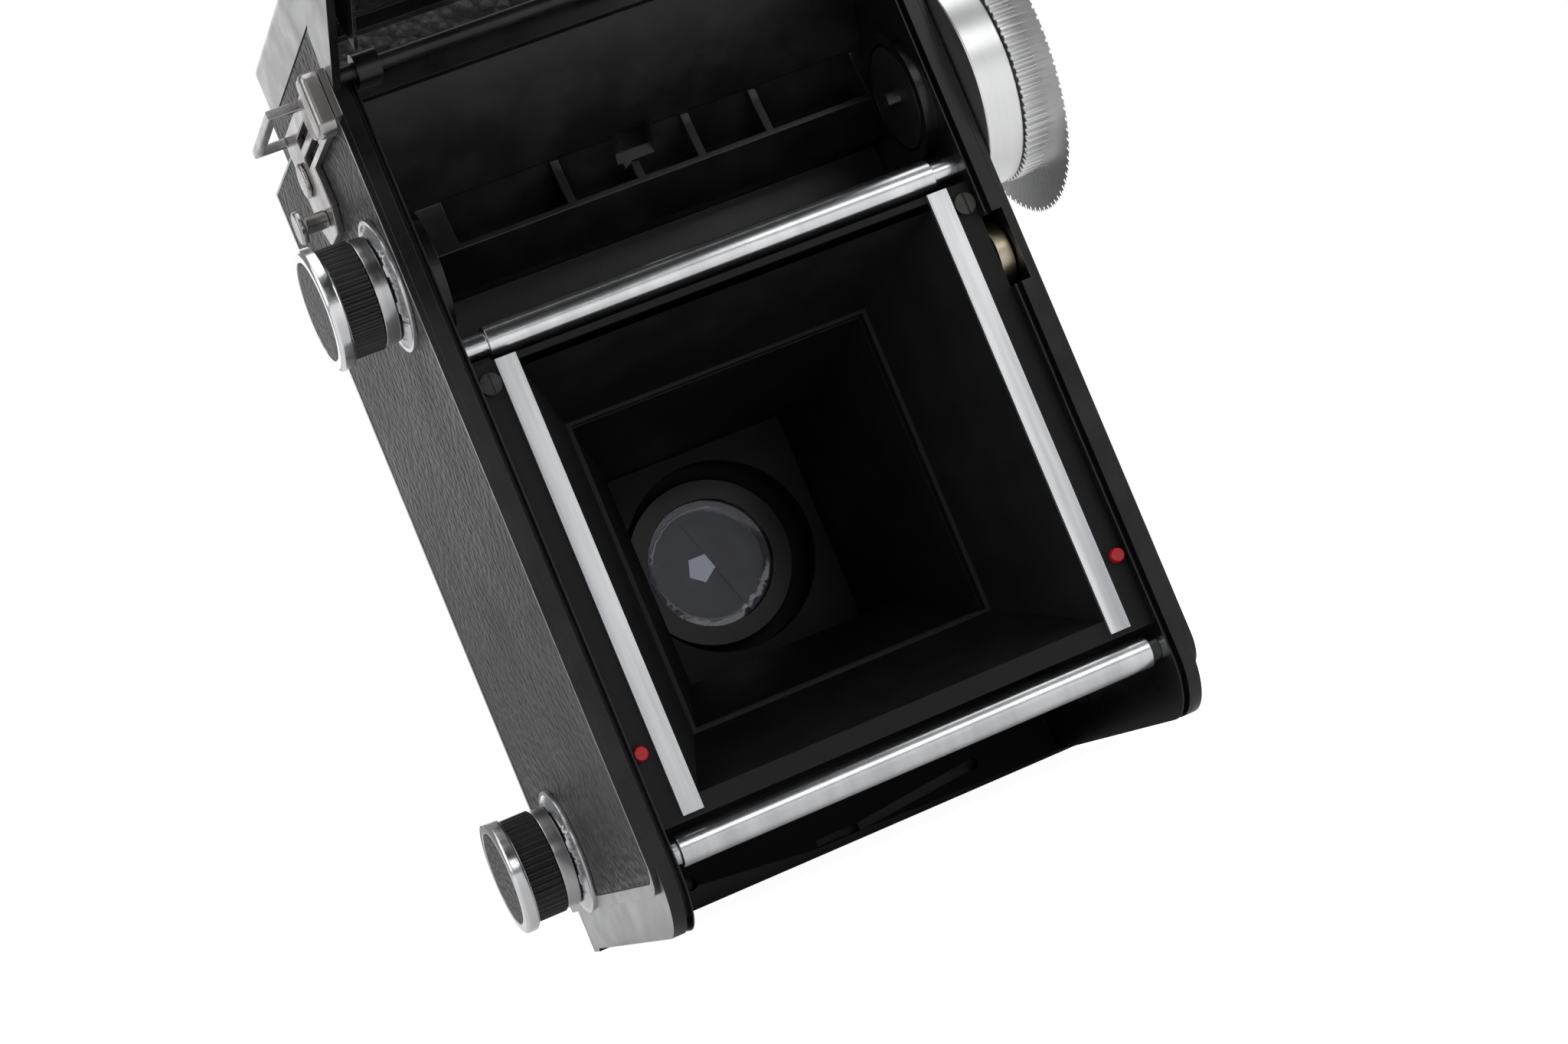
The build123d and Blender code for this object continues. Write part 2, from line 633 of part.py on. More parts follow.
# ---------------------------------------------------------------- winding knob and key
with BuildPart() as wind_knob:
    x0 = leather_face + wind_stand_off
    x1 = x0 + wind_base_len
    x2 = x1 + wind_groove
    x3 = x2 + wind_rim_len
    drum(x0, x1, *takeup, wind_r)
    drum(x1, x2, *takeup, wind_r - 0.8)
    drum(x2, x3, *takeup, wind_rim_r)
    chamfer(wind_knob.faces().sort_by(Axis.X)[-1].edges(), 0.6)
    drum(x3 - 0.8, x3, *takeup, wind_rim_r - 3.0, Mode.SUBTRACT)
    drum(wall_in, x0, *takeup, wind_shaft_r)
save(wind_knob, "wind_knob")

with BuildPart() as takeup_key:
    drum(wall_in - seat_t, wall_in, *takeup, key_r)
    drum(wall_in - seat_t - 1.8, wall_in - seat_t, *takeup, tip_r)
    for flat in (-1, 1):
        block(wall_in - seat_t - 2, wall_in - seat_t, takeup[0] - 3, takeup[0] + 3,
              takeup[1] + flat * key_flat, takeup[1] + flat * 3, Mode.SUBTRACT)
save(takeup_key, "takeup_key")

# ---------------------------------------------------------------- strap brackets
bracket_points = ((-5.0, 69.4), (-5.0, 63.2), (20.5, 63.2), (20.0, 58.0), (23.0, 54.8), (30.0, 54.8),
                  (33.0, 58.0), (33.0, 69.4))
bracket_windows = ((18.0, 64.9, 13.0), (19.5, 67.6, 10.0))
window_tall = 1.5
rivet_places = ((9.0, 67.2), (29.0, 63.8))
stud_place = (25.5, 57.6)
for side, name in ((-1, "left"), (1, "right")):
    with BuildPart() as strap_bracket:
        with BuildSketch(Plane.YZ.offset(side * body_half)):
            with BuildLine():
                Polyline(*bracket_points, close=True)
            make_face()
            for y, z, length in bracket_windows:
                with Locations((y, z)):
                    Rectangle(length, window_tall, mode=Mode.SUBTRACT)
        extrude(amount=side * bracket_t)
        x0 = side * (body_half + bracket_t)
        x1 = side * (body_half + bracket_t + loop_out)
        block(side * body_half, x1, loop_back, loop_front, 69.4, 70.6)
        block(x0, x1 - side * loop_wire, loop_back + loop_wire, loop_front - loop_wire, 69.0, 71.0,
              Mode.SUBTRACT)
    save(strap_bracket, f"strap_bracket_{name}")

with BuildPart() as bracket_fasteners:
    for side in (-1, 1):
        x0 = side * (body_half + bracket_t)
        for place in rivet_places:
            drum(x0, x0 + side * rivet_t, *place, rivet_r if place[0] < 20 else 2.4)
        x1 = x0 + side * stud_len
        drum(x0, x1, *stud_place, stud_r)
        drum(x1, x1 + side * stud_head_t, *stud_place, stud_head_r)
save(bracket_fasteners, "bracket_fasteners")

with BuildPart() as hinge_catch:
    x0 = -body_half - bracket_t - slip
    block(x0, x0 - 2.2, -4.9, -0.4, 61.8, 69.8)
    fillet(hinge_catch.edges().filter_by(Axis.X), 1.4)
    fillet(hinge_catch.faces().sort_by(Axis.X)[0].edges(), 0.7)
save(hinge_catch, "hinge_catch")

# ---------------------------------------------------------------- lens board
with BuildPart() as lens_board:
    block(-board_half, board_half, board_back, board_face, board_low, board_high)
    fillet(lens_board.edges().filter_by(Axis.Y), 3.0)
    block(-board_half + board_wall, board_half - board_wall, board_back, board_face - board_front,
          board_low + board_wall, board_high - board_wall, Mode.SUBTRACT)
    barrel(board_back, board_face + 1, 0, 0, ring_r, Mode.SUBTRACT)
    barrel(board_back, board_face + 1, 0, view_z, view_neck_r, Mode.SUBTRACT)
save(lens_board, "lens_board")

iris_back = board_face + 1.4
iris_front = iris_back + iris_cavity
with BuildPart() as rear_lens_ring:
    barrel(ring_back, iris_back, 0, 0, ring_r)
    barrel(ring_back - 1, iris_back + 1, 0, 0, rear_glass_r, Mode.SUBTRACT)
save(rear_lens_ring, "rear_lens_ring")

with BuildPart() as rear_lens:
    barrel(ring_back + 1.4, ring_back + 4.6, 0, 0, rear_glass_r)
    with Locations((0, ring_back + 1.4 + 26.0 - 1.2, 0)):
        Sphere(26.0, mode=Mode.INTERSECT)
save(rear_lens, "rear_lens")

lever_groove_r = 20.0
with BuildPart() as shutter_housing:
    barrel(board_face, head_y, 0, 0, shutter_r)
    barrel(board_face - 1, iris_back, 0, 0, ring_r, Mode.SUBTRACT)
    barrel(iris_back, iris_front, 0, 0, iris_cavity_r, Mode.SUBTRACT)
    barrel(iris_front, head_y + 1, 0, 0, 9.5, Mode.SUBTRACT)
    for groove_y in (board_face + 4.4, board_face + 6.2):
        with BuildSketch(Plane.XZ.offset(-groove_y)):
            Circle(shutter_r + 1)
            Circle(lever_groove_r, mode=Mode.SUBTRACT)
        extrude(amount=-1.2, mode=Mode.SUBTRACT)
save(shutter_housing, "shutter_housing")

with BuildPart() as iris_blades:
    for number in range(blade_count):
        turn = 360 / blade_count * number + 18
        y0 = iris_back + 0.1 + number * (blade_t + 0.08)
        with BuildSketch(Plane(origin=(0, y0, 0), x_dir=(cos(radians(turn)), 0, sin(radians(turn))),
                               z_dir=(0, 1, 0))):
            Circle(iris_cavity_r - 0.3)
            with Locations((-20 + iris_inradius, 0)):
                Rectangle(40, 60, mode=Mode.SUBTRACT)
        extrude(amount=blade_t)
save(iris_blades, "iris_blades")

with BuildPart() as taking_barrel:
    barrel(iris_front + 0.2, head_y, 0, 0, 9.5)
    barrel(head_y, head_y + barrel_seat, 0, 0, barrel_r)
    barrel(head_y, head_y + barrel_len, 0, 0, collar_r)
    barrel(iris_front, head_y + 1.5, 0, 0, 8.0, Mode.SUBTRACT)
    barrel(head_y + 1.5, head_y + 7, 0, 0, front_glass_r, Mode.SUBTRACT)
    with Locations(Plane(origin=(0, head_y + barrel_len - 0.9, 0), z_dir=(0, 1, 0))):
        Cone(front_glass_r, collar_r - 1.2, 1.8, mode=Mode.SUBTRACT)
save(taking_barrel, "taking_barrel")

with BuildPart() as taking_lens:
    barrel(head_y + 1.5, head_y + 4.6, 0, 0, front_glass_r)
    with Locations((0, head_y + 4.6 - 30.0, 0)):
        Sphere(30.0, mode=Mode.INTERSECT)
save(taking_lens, "taking_lens")

with BuildPart() as viewing_barrel:
    barrel(board_face, board_face + view_barrel_len - collar_len, 0, view_z, view_barrel_r)
    barrel(board_face, board_face + view_barrel_len, 0, view_z, collar_r)
    barrel(board_face - view_neck_len, board_face, 0, view_z, view_neck_r)
    barrel(board_face - 6, board_face + view_barrel_len + 1, 0, view_z, view_glass_r, Mode.SUBTRACT)
    with Locations(Plane(origin=(0, board_face + view_barrel_len - 0.9, view_z), z_dir=(0, 1, 0))):
        Cone(view_glass_r, collar_r - 1.2, 1.8, mode=Mode.SUBTRACT)
save(viewing_barrel, "viewing_barrel")

with BuildPart() as viewing_lens:
    barrel(board_face + 4.0, board_face + 8.6, 0, view_z, view_glass_r)
    with Locations((0, board_face + 8.6 - 34.0, view_z)):
        Sphere(34.0, mode=Mode.INTERSECT)
save(viewing_lens, "viewing_lens")

with BuildPart() as speed_ring:
    barrel(head_y + slip, head_y + 2.3, 0, 0, 22.4)
    barrel(head_y, head_y + 3, 0, 0, barrel_r + running, Mode.SUBTRACT)
    block(-24.6, -21.0, head_y + slip, head_y + 2.3, -1.2, 1.2)
save(speed_ring, "speed_ring")


def lever(y0, angle, reach):
    """A ring lever that turns in a groove of the shutter housing, with one finger tab."""
    barrel(y0, y0 + 1.0, 0, 0, shutter_r - 0.3)
    barrel(y0 - 1, y0 + 2, 0, 0, lever_groove_r + running, Mode.SUBTRACT)
    start = shutter_r - 1.5
    with Locations(Location((0, y0 + 0.5, 0), (0, -angle, 0)) * Location(((start + reach) / 2, 0, 0))):
        Box(reach - start, 1.0, 3.0)


with BuildPart() as aperture_lever:
    lever(board_face + 4.5, 118, 27.5)
save(aperture_lever, "aperture_lever")

with BuildPart() as cocking_lever:
    lever(board_face + 6.3, 292, 28.0)
save(cocking_lever, "cocking_lever")

with BuildPart() as focus_lever:
    barrel(board_face + slip, board_face + 2.0, 0, 0, 25.0)
    barrel(board_face, board_face + 3, 0, 0, shutter_r + running, Mode.SUBTRACT)
    for angle in (28, 208):
        place = Location((0, board_face + 1.05, 0), (0, -angle, 0)) * Location((29.5, 0, 0))
        with Locations(place):
            Box(9.0, 1.9, 9.0)
save(focus_lever, "focus_lever")

with BuildPart() as sync_socket:
    barrel(board_face, board_face + 4.5, *socket_at, socket_r)
    barrel(board_face + 1.0, board_face + 5, *socket_at, socket_r - 0.8, Mode.SUBTRACT)
    barrel(board_face + 1.0, board_face + 3.8, *socket_at, 0.5)
save(sync_socket, "sync_socket")

with BuildPart() as release_button:
    barrel(front_inner + 2.6, front_y + 5.6, *release_at, release_r)
    barrel(front_y + 5.6, front_y + 6.8, *release_at, 3.4)
    fillet(release_button.faces().sort_by(Axis.Y)[-1].edges(), 0.5)
save(release_button, "release_button")

# ---------------------------------------------------------------- film door, closed position
door_top = 65.5
joint_z = base_z + corner_r + 1.0     # the back pressing ends above the rounded corner
inside = door_half - door_t
with BuildPart() as door_shell:
    with BuildSketch(Plane.YZ.offset(-door_half)):
        door_outline(door_back, door_bottom, door_edge_y, door_edge_z, leg_front, door_top)
    extrude(amount=2 * door_half)
    with BuildSketch(Plane.YZ.offset(-inside)):
        door_outline(door_back + door_t, door_bottom + door_t, door_edge_y + 5, door_edge_z + 5,
                     leg_front - door_t, door_top - door_t)
    extrude(amount=2 * inside, mode=Mode.SUBTRACT)

with BuildPart() as film_door:
    add(door_shell.part)
    block(-50, 50, door_back - 20, leg_front + 20, door_bottom - 20, joint_z, Mode.SUBTRACT)
    for side in (-1, 1):
        # ears that carry the hinge
        with BuildSketch(Plane.YZ.offset(side * door_half)):
            with BuildLine():
                Polyline((door_edge_y, door_top - 2), (door_edge_y, hinge_z), (hinge_y, hinge_z + ear_r),
                         (hinge_y - ear_r, hinge_z), (door_back, door_top), (door_back, door_top - 2),
                         close=True)
            make_face()
        extrude(amount=-side * door_t)
    # the top end wall is low, to pass the hinge lugs
    block(-inside, inside, hinge_y - 2.6, 2, door_top - 3, door_top + 1, Mode.SUBTRACT)
    for side in (-1, 1):
        drum(side * (body_half - 2), side * (body_half + 1), hinge_y, hinge_z, pin_r + pin_gap, Mode.SUBTRACT)
        # light trap tongue that enters the wall groove
        x0 = side * (wall_in + groove_in + tongue_side)
        x1 = x0 + side * (groove_w - 2 * tongue_side)
        block(x0, x1, door_back + door_t, back_y + 1.0, -33.0, 60.0)
    for z in (-plate_post_z, plate_post_z):
        barrel(door_back + door_t, -1.0, 0, z, plate_post_r)
save(film_door, "film_door", swung=True)

with BuildPart() as door_base:
    add(door_shell.part)
    block(-50, 50, door_back - 20, leg_front + 20, joint_z, door_top + 20, Mode.SUBTRACT)
    post(door_bottom, door_bottom + door_t, 0, bush_y, bush_r, Mode.SUBTRACT)
    for x in (-28, 28):
        for y in (8, 46):
            post(door_bottom - foot_h, door_bottom, x, y, foot_r)
save(door_base, "door_base", swung=True)

with BuildPart() as hinge_pin:
    drum(-body_half + 0.1, body_half - 0.1, hinge_y, hinge_z, pin_r)
save(hinge_pin, "hinge_pin")

with BuildPart() as door_leather:
    block(-body_half + 1.6, body_half - 1.6, door_back - 0.35, door_back, -33.0, door_top - 1.5)
    fillet(door_leather.edges().filter_by(Axis.Y), 3.0)
save(door_leather, "door_leather", swung=True)

with BuildPart() as pressure_plate:
    block(-press_half, press_half, -press_gap - press_t, -press_gap, -29.0, 29.0)
    fillet(pressure_plate.edges().filter_by(Axis.Y), 2.0)
    for z in (-plate_post_z, plate_post_z):
        barrel(-3, 1, 0, z, plate_post_r + slip, Mode.SUBTRACT)
save(pressure_plate, "pressure_plate", swung=True)

with BuildPart() as plate_springs:
    spring_tip = -press_gap - press_t - press_travel - slip
    seat_y = door_back + door_t
    for z in (-spring_z, spring_z):
        block(-spring_half, spring_half, seat_y, seat_y + spring_t, z - 2, z + 2)
        for side in (-1, 1):
            block(side * spring_half, side * (spring_half - spring_t), seat_y, spring_tip, z - 2, z + 2)
            block(side * spring_half, side * (spring_half + 6), spring_tip - spring_t, spring_tip,
                  z - 2, z + 2)
save(plate_springs, "plate_springs", swung=True)

with BuildPart() as tripod_bush:
    post(door_bottom, door_bottom + bush_len, 0, bush_y, bush_r)
    post(door_bottom + door_t, door_bottom + door_t + 0.8, 0, bush_y, bush_flange_r)
    post(door_bottom - latch_t, door_bottom, 0, bush_y, bush_r)
    post(door_bottom - latch_t, door_bottom + bush_len - 1.2, 0, bush_y, tripod_hole_r, Mode.SUBTRACT)
save(tripod_bush, "tripod_bush", swung=True)

with BuildPart() as latch_ring:
    post(door_bottom - latch_t, door_bottom - slip, 0, bush_y, latch_r)
    post(door_bottom - latch_t - 1, door_bottom + 1, 0, bush_y, bush_r + running, Mode.SUBTRACT)
    with BuildSketch(Plane.XY.offset(door_bottom - latch_t)):
        with Locations((0, bush_y)):
            with PolarLocations(latch_r, 2):
                Circle(1.6)
    extrude(amount=latch_t - slip)
save(latch_ring, "latch_ring", swung=True)

with BuildPart() as latch_bolt:
    tray_z = door_bottom + door_t + slip
    hook_y = leg_front - door_t - bolt_travel - 1.0
    block(-bolt_half, bolt_half, bush_y + 9.0, hook_y, tray_z, tray_z + bolt_t)
    block(-bolt_half, bolt_half, hook_y - 1.0, hook_y, tray_z, bolt_z + bolt_t)
    block(-bolt_half, bolt_half, hook_y - 1.0, bolt_tip, bolt_z, bolt_z + bolt_t)
save(latch_bolt, "latch_bolt", swung=True)
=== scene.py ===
"""A twin lens reflex camera for roll film, with its film door swung up and its hood folded."""

import json
import math

import bpy
from mathutils import Matrix, Vector

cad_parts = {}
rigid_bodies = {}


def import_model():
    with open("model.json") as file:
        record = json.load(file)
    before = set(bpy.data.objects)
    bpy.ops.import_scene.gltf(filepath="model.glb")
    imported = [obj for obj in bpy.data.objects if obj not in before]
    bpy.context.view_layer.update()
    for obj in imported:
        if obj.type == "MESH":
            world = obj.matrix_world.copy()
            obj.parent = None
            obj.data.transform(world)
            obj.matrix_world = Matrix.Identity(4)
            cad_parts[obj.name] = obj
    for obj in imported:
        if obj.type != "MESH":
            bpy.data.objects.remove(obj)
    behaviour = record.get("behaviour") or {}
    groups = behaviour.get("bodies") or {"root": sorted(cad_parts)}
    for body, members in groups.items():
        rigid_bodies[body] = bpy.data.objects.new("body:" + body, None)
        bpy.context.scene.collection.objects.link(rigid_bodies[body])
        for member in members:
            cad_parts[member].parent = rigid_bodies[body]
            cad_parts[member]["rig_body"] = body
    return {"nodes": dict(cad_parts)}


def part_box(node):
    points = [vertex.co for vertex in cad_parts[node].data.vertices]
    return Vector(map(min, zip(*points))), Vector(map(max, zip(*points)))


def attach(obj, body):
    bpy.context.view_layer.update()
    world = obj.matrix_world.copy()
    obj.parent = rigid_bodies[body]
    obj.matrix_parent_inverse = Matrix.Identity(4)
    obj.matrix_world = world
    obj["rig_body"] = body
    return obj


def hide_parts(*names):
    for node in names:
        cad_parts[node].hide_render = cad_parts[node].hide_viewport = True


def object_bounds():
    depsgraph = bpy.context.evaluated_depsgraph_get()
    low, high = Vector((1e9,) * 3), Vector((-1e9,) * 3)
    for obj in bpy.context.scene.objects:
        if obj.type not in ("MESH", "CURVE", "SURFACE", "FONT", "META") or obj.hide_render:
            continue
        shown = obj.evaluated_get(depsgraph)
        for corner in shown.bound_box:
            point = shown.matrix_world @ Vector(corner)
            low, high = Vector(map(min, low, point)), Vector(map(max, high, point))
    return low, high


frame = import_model()
cad_low, cad_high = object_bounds()
MM = 0.001

# ---------------------------------------------------------------- studio
# A pale table, a white room and five soft boxes: large ones left, above and right, one before, one behind.
scene = bpy.context.scene
scene.view_settings.view_transform = "Standard"

eye = Vector((-118.18, -407.07, -20.53)) * MM
looking = Vector((0.2669, 0.9627, 0.0449))
overhead = Vector((0.3602, -0.1429, 0.9219))
bpy.ops.object.camera_add(location=eye)
camera = bpy.context.object
camera.name = "studio_camera"
sideways = looking.cross(overhead).normalized()
overhead = sideways.cross(looking).normalized()
camera.matrix_world = Matrix.LocRotScale(
    eye, Matrix((sideways, overhead, -looking)).transposed().to_quaternion(), None
)
camera.data.lens = 79.14
camera.data.sensor_width = 36.0
camera.data.clip_start = 0.01
camera.data.clip_end = 20.0
scene.camera = camera


def soft_box(name, place, aim, width, height, power):
    """A rectangular soft light that faces a point."""
    bpy.ops.object.light_add(type="AREA", location=Vector(place))
    light = bpy.context.object
    light.name = name
    light.data.shape = "RECTANGLE"
    light.data.size = width
    light.data.size_y = height
    light.data.energy = power
    light.rotation_mode = "QUATERNION"
    light.rotation_quaternion = (Vector(aim) - Vector(place)).to_track_quat("-Z", "Y")


soft_box("box_left", (-0.75, -0.25, 0.45), (0, 0, 0.01), 0.7, 0.9, 2.8)
soft_box("box_top", (0.1, -0.15, 0.95), (0, 0, 0), 0.9, 0.9, 3.4)
soft_box("box_right", (0.8, -0.35, 0.1), (0.03, 0, 0.03), 0.5, 0.9, 3.4)
soft_box("box_front", (0.1, 0.9, 0.35), (0, 0.05, 0.02), 0.8, 0.6, 1.6)
soft_box("box_back", (0.25, -0.95, 0.35), (0, 0, 0), 0.9, 0.35, 1.5)

world = bpy.data.worlds.new("white_room")
scene.world = world
world.use_nodes = True
room = world.node_tree
room.nodes.clear()
room_out = room.nodes.new("ShaderNodeOutputWorld")
room_mix = room.nodes.new("ShaderNodeMixShader")
room_seen = room.nodes.new("ShaderNodeBackground")
room_seen.inputs["Color"].default_value = (1, 1, 1, 1)
room_seen.inputs["Strength"].default_value = 1.0
room_fill = room.nodes.new("ShaderNodeBackground")
room_fill.inputs["Color"].default_value = (0.97, 0.985, 1.0, 1)
room_fill.inputs["Strength"].default_value = 0.24
room_path = room.nodes.new("ShaderNodeLightPath")
room.links.new(room_path.outputs["Is Camera Ray"], room_mix.inputs[0])
room.links.new(room_fill.outputs[0], room_mix.inputs[1])
room.links.new(room_seen.outputs[0], room_mix.inputs[2])
room.links.new(room_mix.outputs[0], room_out.inputs["Surface"])

table_z = cad_low.z - 0.0002
bpy.ops.mesh.primitive_circle_add(vertices=96, radius=6.0, fill_type="NGON", location=(0, 0, table_z))
table = bpy.context.object
table.name = "table_top"
table_paint = bpy.data.materials.new("table_paint")
table_paint.use_nodes = True
table_shader = table_paint.node_tree.nodes["Principled BSDF"]
table_shader.inputs["Base Color"].default_value = (0.93, 0.93, 0.93, 1)
table_shader.inputs["Roughness"].default_value = 0.8
table_shader.inputs["Emission Color"].default_value = (1, 1, 1, 1)
table_path = table_paint.node_tree.nodes.new("ShaderNodeLightPath")
table_glow = table_paint.node_tree.nodes.new("ShaderNodeMath")
table_glow.operation = "MULTIPLY_ADD"
table_glow.inputs[1].default_value = 0.85
table_glow.inputs[2].default_value = 0.12
table_paint.node_tree.links.new(table_path.outputs["Is Camera Ray"], table_glow.inputs[0])
table_paint.node_tree.links.new(table_glow.outputs[0], table_shader.inputs["Emission Strength"])
table.data.materials.append(table_paint)

# ---------------------------------------------------------------- body casting
# The die-cast shell: black enamel inside and on its edges, bare satin alloy below the side plates.
# Every edge is broken a little, as cast and enamelled edges are.
def node_group(name, inputs, outputs):
    """A shader node group with named float, vector and colour sockets."""
    group = bpy.data.node_groups.new(name, "ShaderNodeTree")
    for label, kind, value in inputs:
        socket = group.interface.new_socket(name=label, in_out="INPUT", socket_type=kind)
        if value is not None:
            socket.default_value = value
    for label, kind in outputs:
        group.interface.new_socket(name=label, in_out="OUTPUT", socket_type=kind)
    start = group.nodes.new("NodeGroupInput")
    end = group.nodes.new("NodeGroupOutput")
    return group, start, end


def math_node(tree, operation, first, second=None, clamp=False):
    """A maths node fed by sockets or numbers."""
    node = tree.nodes.new("ShaderNodeMath")
    node.operation = operation
    node.use_clamp = clamp
    for socket, value in zip(node.inputs, (first, second)):
        if isinstance(value, (int, float)):
            socket.default_value = value
        elif value is not None:
            tree.links.new(value, socket)
    return node.outputs[0]


def noise_node(tree, vector, scale, detail=4.0, roughness=0.55):
    """Noise read at a position."""
    node = tree.nodes.new("ShaderNodeTexNoise")
    node.inputs["Detail"].default_value = detail
    node.inputs["Roughness"].default_value = roughness
    tree.links.new(vector, node.inputs["Vector"])
    if isinstance(scale, (int, float)):
        node.inputs["Scale"].default_value = scale
    else:
        tree.links.new(scale, node.inputs["Scale"])
    return node.outputs["Fac"]


def ramp_between(tree, value, low, high):
    """Value mapped from low..high to 0..1, clamped."""
    node = tree.nodes.new("ShaderNodeMapRange")
    tree.links.new(value, node.inputs["Value"])
    node.inputs["From Min"].default_value = low
    node.inputs["From Max"].default_value = high
    return node.outputs["Result"]


FLOAT, VECTOR, COLOUR = "NodeSocketFloat", "NodeSocketVector", "NodeSocketColor"
SPECK_RELIEF = 0.00001

# dust and handling marks, for every painted and plated surface
use_marks, marks_in, marks_out = node_group(
    "handling_marks",
    [("Vector", VECTOR, None), ("Base", COLOUR, (0.02, 0.02, 0.02, 1)), ("Worn", COLOUR, (0.1, 0.1, 0.1, 1)),
     ("Rough", FLOAT, 0.3), ("Spread", FLOAT, 0.1), ("Amount", FLOAT, 0.3)],
    [("Color", COLOUR), ("Roughness", FLOAT), ("Height", FLOAT)])
smudge = noise_node(use_marks, marks_in.outputs["Vector"], 140.0, 5.0, 0.6)
specks = noise_node(use_marks, marks_in.outputs["Vector"], 2600.0, 2.0, 0.5)
cloud = ramp_between(use_marks, smudge, 0.42, 0.72)
speck_mask = ramp_between(use_marks, specks, 0.68, 0.8)
worn_share = math_node(use_marks, "MULTIPLY", math_node(use_marks, "ADD", cloud, speck_mask, True),
                       marks_in.outputs["Amount"], True)
worn_mix = use_marks.nodes.new("ShaderNodeMix")
worn_mix.data_type = "RGBA"
use_marks.links.new(worn_share, worn_mix.inputs["Factor"])
use_marks.links.new(marks_in.outputs["Base"], worn_mix.inputs["A"])
use_marks.links.new(marks_in.outputs["Worn"], worn_mix.inputs["B"])
use_marks.links.new(worn_mix.outputs["Result"], marks_out.inputs["Color"])
rough_swing = math_node(use_marks, "MULTIPLY", math_node(use_marks, "SUBTRACT", smudge, 0.5),
                        math_node(use_marks, "MULTIPLY", marks_in.outputs["Spread"], 2.0))
use_marks.links.new(math_node(use_marks, "ADD", marks_in.outputs["Rough"], rough_swing, True),
                    marks_out.inputs["Roughness"])
use_marks.links.new(specks, marks_out.inputs["Height"])


def place_group(tree, group, **values):
    """Puts a node group in a material, with its own values."""
    node = tree.nodes.new("ShaderNodeGroup")
    node.node_tree = group
    for label, value in values.items():
        socket = node.inputs[label]
        if hasattr(value, "links"):
            tree.links.new(value, socket)
        else:
            socket.default_value = value
    return node


def new_material(name):
    """A material with its shader and the Object coordinates of the piece."""
    material = bpy.data.materials.new(name)
    material.use_nodes = True
    tree = material.node_tree
    shader = tree.nodes["Principled BSDF"]
    spot = tree.nodes.new("ShaderNodeTexCoord").outputs["Object"]
    return material, tree, shader, spot


def add_bump(tree, shader, height, depth):
    """Relief of a depth in metres on a shader."""
    node = tree.nodes.new("ShaderNodeBump")
    node.inputs["Strength"].default_value = 1.0
    node.inputs["Distance"].default_value = depth
    tree.links.new(height, node.inputs["Height"])
    tree.links.new(node.outputs["Normal"], shader.inputs["Normal"])


def painted(name, base, worn, rough, spread=0.1, amount=0.3, metal=0.0, coat=0.0, shine=0.5):
    """Paint or plating with handling marks."""
    material, tree, shader, spot = new_material(name)
    marks = place_group(tree, use_marks, Vector=spot, Base=(*base, 1), Worn=(*worn, 1), Rough=rough,
                        Spread=spread, Amount=amount)
    tree.links.new(marks.outputs["Color"], shader.inputs["Base Color"])
    tree.links.new(marks.outputs["Roughness"], shader.inputs["Roughness"])
    add_bump(tree, shader, marks.outputs["Height"], SPECK_RELIEF)
    shader.inputs["Metallic"].default_value = metal
    shader.inputs["Coat Weight"].default_value = coat
    shader.inputs["Coat Roughness"].default_value = 0.12
    shader.inputs["Specular IOR Level"].default_value = shine
    return material


black_enamel = painted("black_enamel", (0.0035, 0.0035, 0.004), (0.018, 0.018, 0.018), 0.3, 0.14, 0.35,
                       coat=0.1, shine=0.4)
satin_alloy = painted("satin_alloy", (0.56, 0.56, 0.56), (0.42, 0.41, 0.4), 0.34, 0.14, 0.5, metal=0.9)


def calm():
    """Nothing selected, in object mode."""
    if bpy.context.object and bpy.context.object.mode != "OBJECT":
        bpy.ops.object.mode_set(mode="OBJECT")
    bpy.ops.object.select_all(action="DESELECT")


def take(piece):
    """Only this piece selected and active."""
    calm()
    piece.select_set(True)
    bpy.context.view_layer.objects.active = piece


def settle(piece, body, smooth=35):
    """Applies a piece's place to its mesh, levels its shading and lets it ride on a body."""
    take(piece)
    bpy.ops.object.transform_apply(location=True, rotation=True, scale=True)
    bpy.ops.object.shade_smooth_by_angle(angle=math.radians(smooth))
    level = piece.modifiers.new("level", "WEIGHTED_NORMAL")
    level.keep_sharp = True
    bpy.ops.object.modifier_apply(modifier="level")
    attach(piece, body)
    return piece


def soften(piece, width, segments=2, least=30):
    """Breaks a piece's sharp edges."""
    take(piece)
    bevel = piece.modifiers.new("edge", "BEVEL")
    bevel.width = width * MM
    bevel.segments = segments
    bevel.limit_method = "ANGLE"
    bevel.angle_limit = math.radians(least)
    bpy.ops.object.modifier_apply(modifier="edge")


def broken_edges(node, material, edge=0.12, segments=2):
    """A copy of a made part with its sharp edges broken by a small bevel, which stands for that part."""
    source = frame["nodes"][node]
    piece = bpy.data.objects.new(f"{node}_finished", source.data.copy())
    scene.collection.objects.link(piece)
    take(piece)
    piece.data.materials.clear()
    piece.data.materials.append(material)
    bpy.ops.object.mode_set(mode="EDIT")
    bpy.ops.mesh.select_all(action="SELECT")
    bpy.ops.mesh.remove_doubles(threshold=0.000004)
    bpy.ops.mesh.customdata_custom_splitnormals_clear()
    bpy.ops.mesh.dissolve_limited(angle_limit=math.radians(0.6))
    bpy.ops.object.mode_set(mode="OBJECT")
    if edge:
        soften(piece, edge, segments, 32)
    settle(piece, source["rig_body"])
    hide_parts(node)
    return piece


def second_finish(piece, material, chosen):
    """Gives the faces whose centre passes a test another finish."""
    piece.data.materials.append(material)
    index = len(piece.data.materials) - 1
    for face in piece.data.polygons:
        if chosen(face.center / MM, face.normal):
            face.material_index = index


